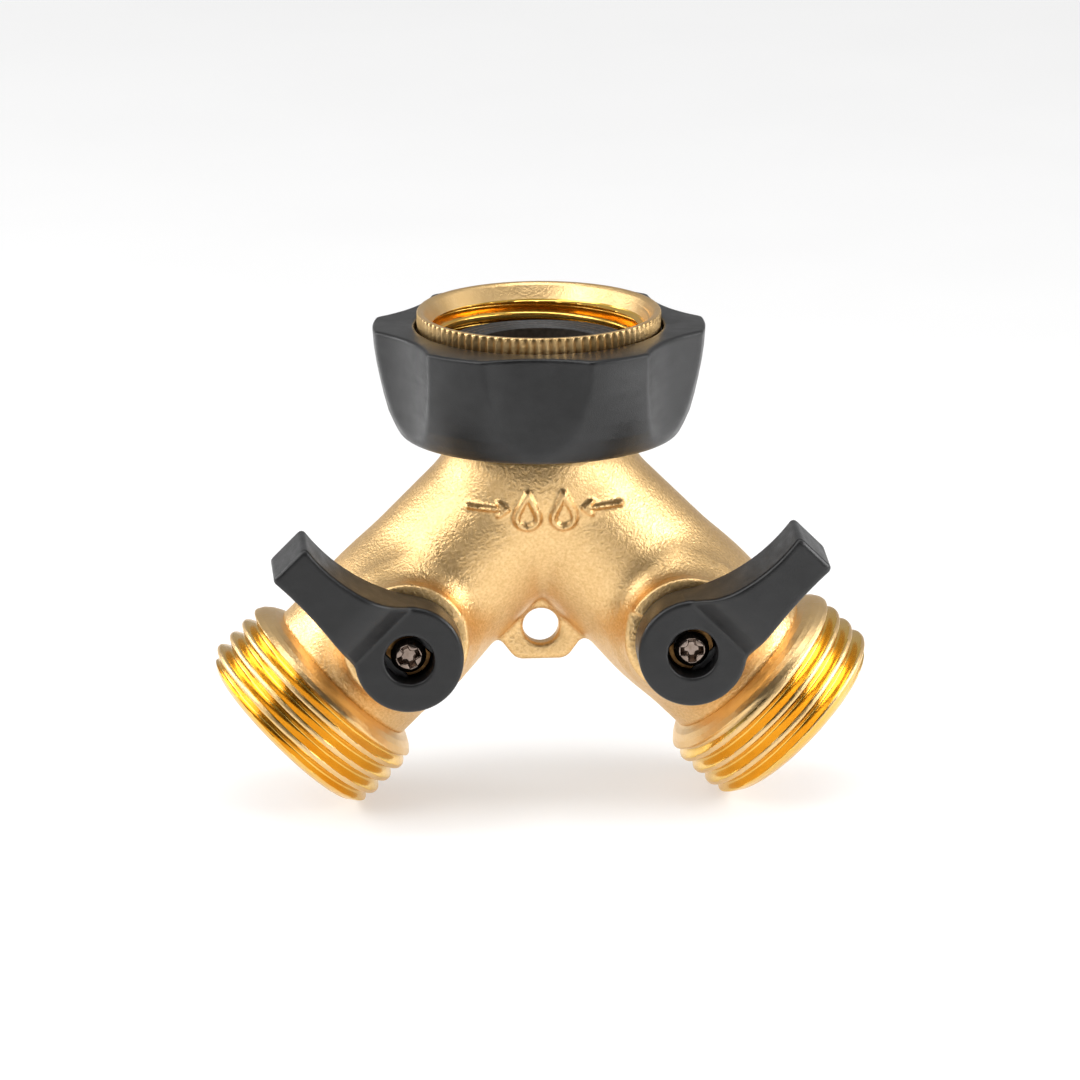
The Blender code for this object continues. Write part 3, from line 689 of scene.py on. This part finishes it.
def satin_brass():
    """Turned and then blasted brass, for the outside and mouth of the nut."""
    made = Nodes("satin_brass", 1.0)
    tone, dark, light = made.noise(3.0, 3), (0.80, 0.53, 0.23), (0.87, 0.60, 0.29)
    made.set("Base Color", made.ramp(tone, 0.3, 0.7, dark, light))
    made.set("Roughness", made.ramp(made.noise(0.5, 3), 0.3, 0.7, 0.28, 0.4))
    uneven = made.bump(made.noise(1.4, 2), 0.03)
    made.set("Normal", made.bump(made.noise(0.3, 3, 0.6), 0.05, 1.0, uneven))
    return made.material


def stem_brass_painted_shade():
    """Dull brass with painted shade: darkened to stand for the shadow at the bottom of the lever's
    recess, where the stem's end shows.
    """
    made = Nodes("stem_brass_painted_shade", 1.0)
    tone, dark, light = made.noise(0.8, 3), (0.09, 0.045, 0.016), (0.22, 0.12, 0.042)
    made.set("Base Color", made.ramp(tone, 0.3, 0.7, dark, light))
    made.set("Roughness", made.ramp(made.noise(0.5, 3), 0.3, 0.7, 0.3, 0.45))
    made.set("Normal", made.bump(made.noise(0.25, 3), 0.02))
    return made.material


def moulded_plastic(name, dark, light, roughness, grain):
    """Spark-textured black plastic with a slightly blue tone and faint flow marks in its gloss."""
    made = Nodes(name, 0.0, IOR=1.5)
    cool_dark, cool_light = (dark, dark, dark * 1.06), (light, light, light * 1.04)
    made.set("Base Color", made.ramp(made.noise(4.0, 3), 0.3, 0.7, cool_dark, cool_light))
    flow = made.noise(1.0, 3, 0.6, made.stretched((0.25, 0.25, 0.9)))
    made.set("Roughness", made.ramp(flow, 0.3, 0.7, roughness, roughness + 0.12))
    uneven = made.bump(made.noise(3.0), 0.04)
    made.set("Normal", made.bump(made.noise(0.17, 3, 0.65), grain, 1.0, uneven))
    return made.material


def soft_rubber():
    """Black rubber with a little dust in its gloss, for the hose washer and the O-rings."""
    made = Nodes("washer_rubber", 0.0)
    tone = made.noise(0.6, 3)
    made.set("Base Color", made.ramp(tone, 0.3, 0.7, (0.018, 0.017, 0.016), (0.045, 0.043, 0.041)))
    made.set("Roughness", made.ramp(made.noise(0.4, 3), 0.3, 0.7, 0.3, 0.45))
    made.set("Normal", made.bump(made.noise(0.2, 3), 0.015))
    return made.material


def plated_steel(name, dark, light, rough):
    """Plated, sprung or ground steel, with a little haze in its gloss."""
    made = Nodes(name, 1.0)
    tone = made.noise(0.8, 3)
    made.set("Base Color", made.ramp(tone, 0.3, 0.7, dark, light))
    made.set("Roughness", made.ramp(made.noise(0.5, 3), 0.3, 0.7, rough, rough + 0.12))
    made.set("Normal", made.bump(made.noise(0.3, 3), 0.006))
    return made.material


def white_seal():
    """Waxy white PTFE, slightly mottled."""
    made = Nodes("white_ptfe", 0.0)
    tone, dark, light = made.noise(1.5, 3), (0.78, 0.78, 0.75), (0.86, 0.86, 0.84)
    made.set("Base Color", made.ramp(tone, 0.3, 0.7, dark, light))
    made.set("Roughness", made.ramp(made.noise(0.6), 0.3, 0.7, 0.38, 0.5))
    made.set("Normal", made.bump(made.noise(0.25, 2), 0.008))
    return made.material


CAST_BRASS = cast_brass()
MACHINED_BRASS = turned_brass("machined_brass")
SATIN_BRASS = satin_brass()
STEM_BRASS_PAINTED_SHADE = stem_brass_painted_shade()
THREAD_BRASS = {
    side: turned_brass(f"{name}_thread_brass", side * math.radians(-135))
    for side, name in SIDES.items()
}
PART_BRASS = turned_brass("small_part_brass", along=False)
COLLAR_PLASTIC = moulded_plastic("collar_plastic", 0.003, 0.013, 0.29, 0.03)
LEVER_PLASTIC = moulded_plastic("lever_plastic", 0.006, 0.010, 0.3, 0.02)
RUBBER = soft_rubber()
# The screws' plated steel has a dark, warm base: painted shade and painted dark reflection of the
# lever's recess.
PLATED_STEEL_PAINTED_SHADE = plated_steel("plated_steel", (0.2, 0.15, 0.12), (0.34, 0.27, 0.23), 0.12)
SPRING_STEEL = plated_steel("spring_steel", (0.36, 0.35, 0.34), (0.5, 0.49, 0.47), 0.22)
BALL_STEEL = plated_steel("ball_chrome", (0.6, 0.6, 0.6), (0.68, 0.68, 0.67), 0.06)
WHITE_SEAL = white_seal()


def finished(obj, body, slot, material, *replaced):
    """Gives a piece its material and body, and hides the CAD nodes it stands for. The slot is not
    used.
    """
    obj.data.materials.clear()
    obj.data.materials.append(material)
    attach(obj, body)
    if replaced:
        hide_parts(*replaced)
    return obj


def dress_cad_nodes():
    """Better materials for the CAD nodes that stay."""
    looks = {
        "stem": STEM_BRASS_PAINTED_SHADE,
        "ball": BALL_STEEL,
        "inner_seat": WHITE_SEAL,
        "outer_seat": WHITE_SEAL,
        "thrust_washer": WHITE_SEAL,
        "seat_retainer": PART_BRASS,
        "lower_o_ring": RUBBER,
        "upper_o_ring": RUBBER,
    }
    for name in SIDES.values():
        for part, look in looks.items():
            frame["nodes"][f"{name}_{part}"].material_slots[0].material = look
    frame["nodes"]["retaining_ring"].material_slots[0].material = SPRING_STEEL


# ---- Studio ----


def make_world():
    """An even pale studio, dimmer in front, where the camera and its operator stand."""
    world = bpy.data.worlds.new("studio")
    bpy.context.scene.world = world
    world.use_nodes = True
    tree = world.node_tree
    place = tree.nodes.new("ShaderNodeTexCoord").outputs["Generated"]
    towards = tree.nodes.new("ShaderNodeVectorMath")
    towards.operation = "DOT_PRODUCT"
    towards.inputs[1].default_value = (-0.2, -0.97, -0.12)
    tree.links.new(place, towards.inputs[0])
    ramp = tree.nodes.new("ShaderNodeValToRGB")
    stops = ramp.color_ramp.elements
    stops[0].position, stops[0].color = 0.25, (0.42, 0.42, 0.42, 1)
    stops[1].position, stops[1].color = 0.88, (0.015, 0.013, 0.011, 1)
    tree.links.new(towards.outputs["Value"], ramp.inputs["Fac"])
    background = tree.nodes["Background"]
    tree.links.new(ramp.outputs["Color"], background.inputs["Color"])
    background.inputs["Strength"].default_value = 1.02


def make_floor(height):
    """A wide pale floor just under the outlets."""
    reach = 2.5
    around = [(-reach, -reach), (reach, -reach), (reach, reach), (-reach, reach)]
    corners = [(x, y, height) for x, y in around]
    floor = mesh_from("studio_floor", np.array(corners) / MM, np.array([[0, 1, 2, 3]]))
    glow = {"Emission_Color": (1, 1, 1, 1), "Emission_Strength": 0.46}
    made = Nodes("light_table", 0.0, Roughness=0.9, **glow)
    made.set("Base Color", made.ramp(made.noise(40.0), 0.3, 0.7, 0.54, 0.56))
    floor.data.materials.append(made.material)


def direction(azimuth, elevation):
    """A unit vector towards an azimuth from the front and an elevation, in degrees."""
    a, e = math.radians(azimuth), math.radians(elevation)
    return Vector((math.sin(a) * math.cos(e), -math.cos(a) * math.cos(e), math.sin(e)))


def soft_light(name, azimuth, elevation, distance, size, power, aim=(0, 0, -0.03)):
    """A rectangular softbox that faces a point, by default on the object, from a direction."""
    outward = direction(azimuth, elevation)
    lamp = bpy.data.lights.new(name, "AREA")
    lamp.shape = "RECTANGLE"
    lamp.size, lamp.size_y = size
    lamp.energy = power
    made = bpy.data.objects.new(name, lamp)
    made.location = Vector(aim) + outward * distance
    made.rotation_euler = outward.to_track_quat("Z", "Y").to_euler()
    bpy.context.scene.collection.objects.link(made)


def make_camera():
    """The catalogue view: nearly straight on, a little from above, through a long lens."""
    back = direction(-3.7, 15.2)
    roll, distance, aim_drop = math.radians(-0.3), 1.2, 8.1
    data = bpy.data.cameras.new("camera")
    data.lens, data.sensor_width = 322, 36
    data.clip_end = 20
    camera = bpy.data.objects.new("camera", data)
    camera.location = Vector((0, 0, (JUNCTION - aim_drop) * MM)) + back * distance
    turn = (-back).to_track_quat("-Z", "Y").to_matrix() @ Matrix.Rotation(roll, 3, "Z")
    camera.rotation_euler = turn.to_euler()
    bpy.context.scene.collection.objects.link(camera)
    bpy.context.scene.camera = camera


make_body()
for side in SIDES:
    make_outlet(side)
    make_valve(side)
make_nut()
make_collar()
make_washer()
dress_cad_nodes()

make_world()
make_floor(cad_box[0].z - 0.3 * MM)
soft_light("key_left", -62, 40, 0.9, (0.55, 0.6), 3.8)
soft_light("floor_right", 0, 90, 0.1, (0.16, 0.2), 0.75, aim=(0.2, -0.09, -0.06))
soft_light("floor_left", 0, 90, 0.1, (0.16, 0.16), 0.35, aim=(-0.22, 0.06, -0.06))
soft_light("far_left", -112, 18, 0.9, (0.2, 0.7), 1.6)
soft_light("far_right", 100, 38, 0.9, (0.4, 0.6), 0.6)
soft_light("top", 0, 82, 0.9, (0.7, 0.35), 2.8)
make_camera()
bpy.context.scene.view_settings.view_transform = "Standard"
